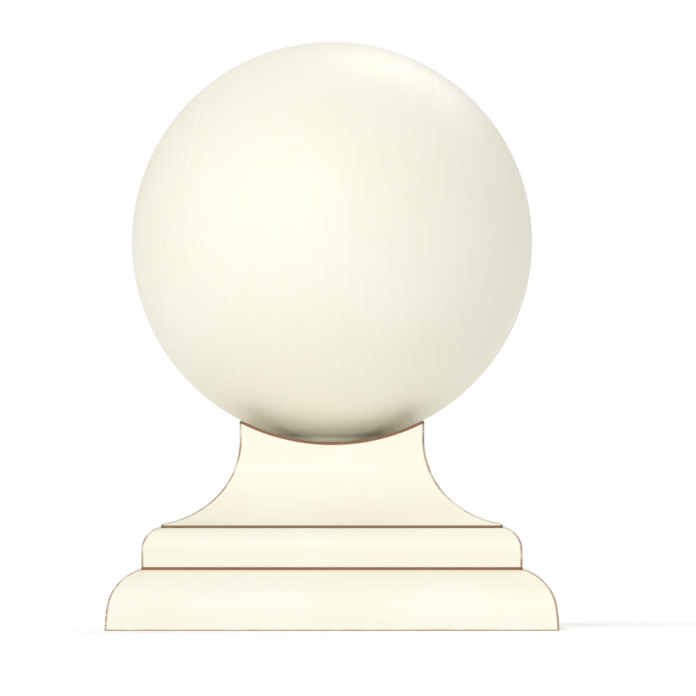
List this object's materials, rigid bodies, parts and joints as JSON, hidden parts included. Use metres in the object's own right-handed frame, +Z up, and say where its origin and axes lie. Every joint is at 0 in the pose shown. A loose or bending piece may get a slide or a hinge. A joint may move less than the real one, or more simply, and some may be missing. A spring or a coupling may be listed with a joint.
{
  "type": "fence post cap",
  "caption": "Ball-topped cap that slips over a square timber fence post, with a moulded frame, a plinth board and a swept neck under the ball.",
  "frame": {"origin": "centre of the underside of the moulded frame, on the post's axis", "axes": "+Z up along the post, towards the ball; -Y towards the viewer of the front face; +X to the viewer's right, through the rail with the fixing holes"},
  "size_m": [0.15, 0.15, 0.195],
  "materials": {
    "painted_timber": "satin",
    "brown_rubber": "matte",
    "stainless_steel": "plain stainless steel",
    "zinc_plated_steel": "bright zinc plating",
    "spring_steel": "blued spring steel",
    "white_nylon": "natural nylon"
  },
  "bodies": {
    "root": {"skirt_front_rail": "painted_timber", "skirt_back_rail": "painted_timber", "skirt_left_rail": "painted_timber", "skirt_right_rail": "painted_timber", "mitre_v_nails": "spring_steel", "skirt_screws": "stainless_steel", "plinth_seal": "brown_rubber", "plinth_board": "painted_timber", "neck_screws": "stainless_steel", "neck_seal": "brown_rubber", "neck_block": "painted_timber", "seat_seal": "brown_rubber", "saddle_edging": "brown_rubber", "ball_front_board": "painted_timber", "ball_core_board": "painted_timber", "ball_back_board": "painted_timber", "hanger_bolt": "zinc_plated_steel", "bolt_washer": "zinc_plated_steel", "lock_nut": "zinc_plated_steel", "lock_nut_nylon_ring": "white_nylon"}
  },
  "joints": []
}
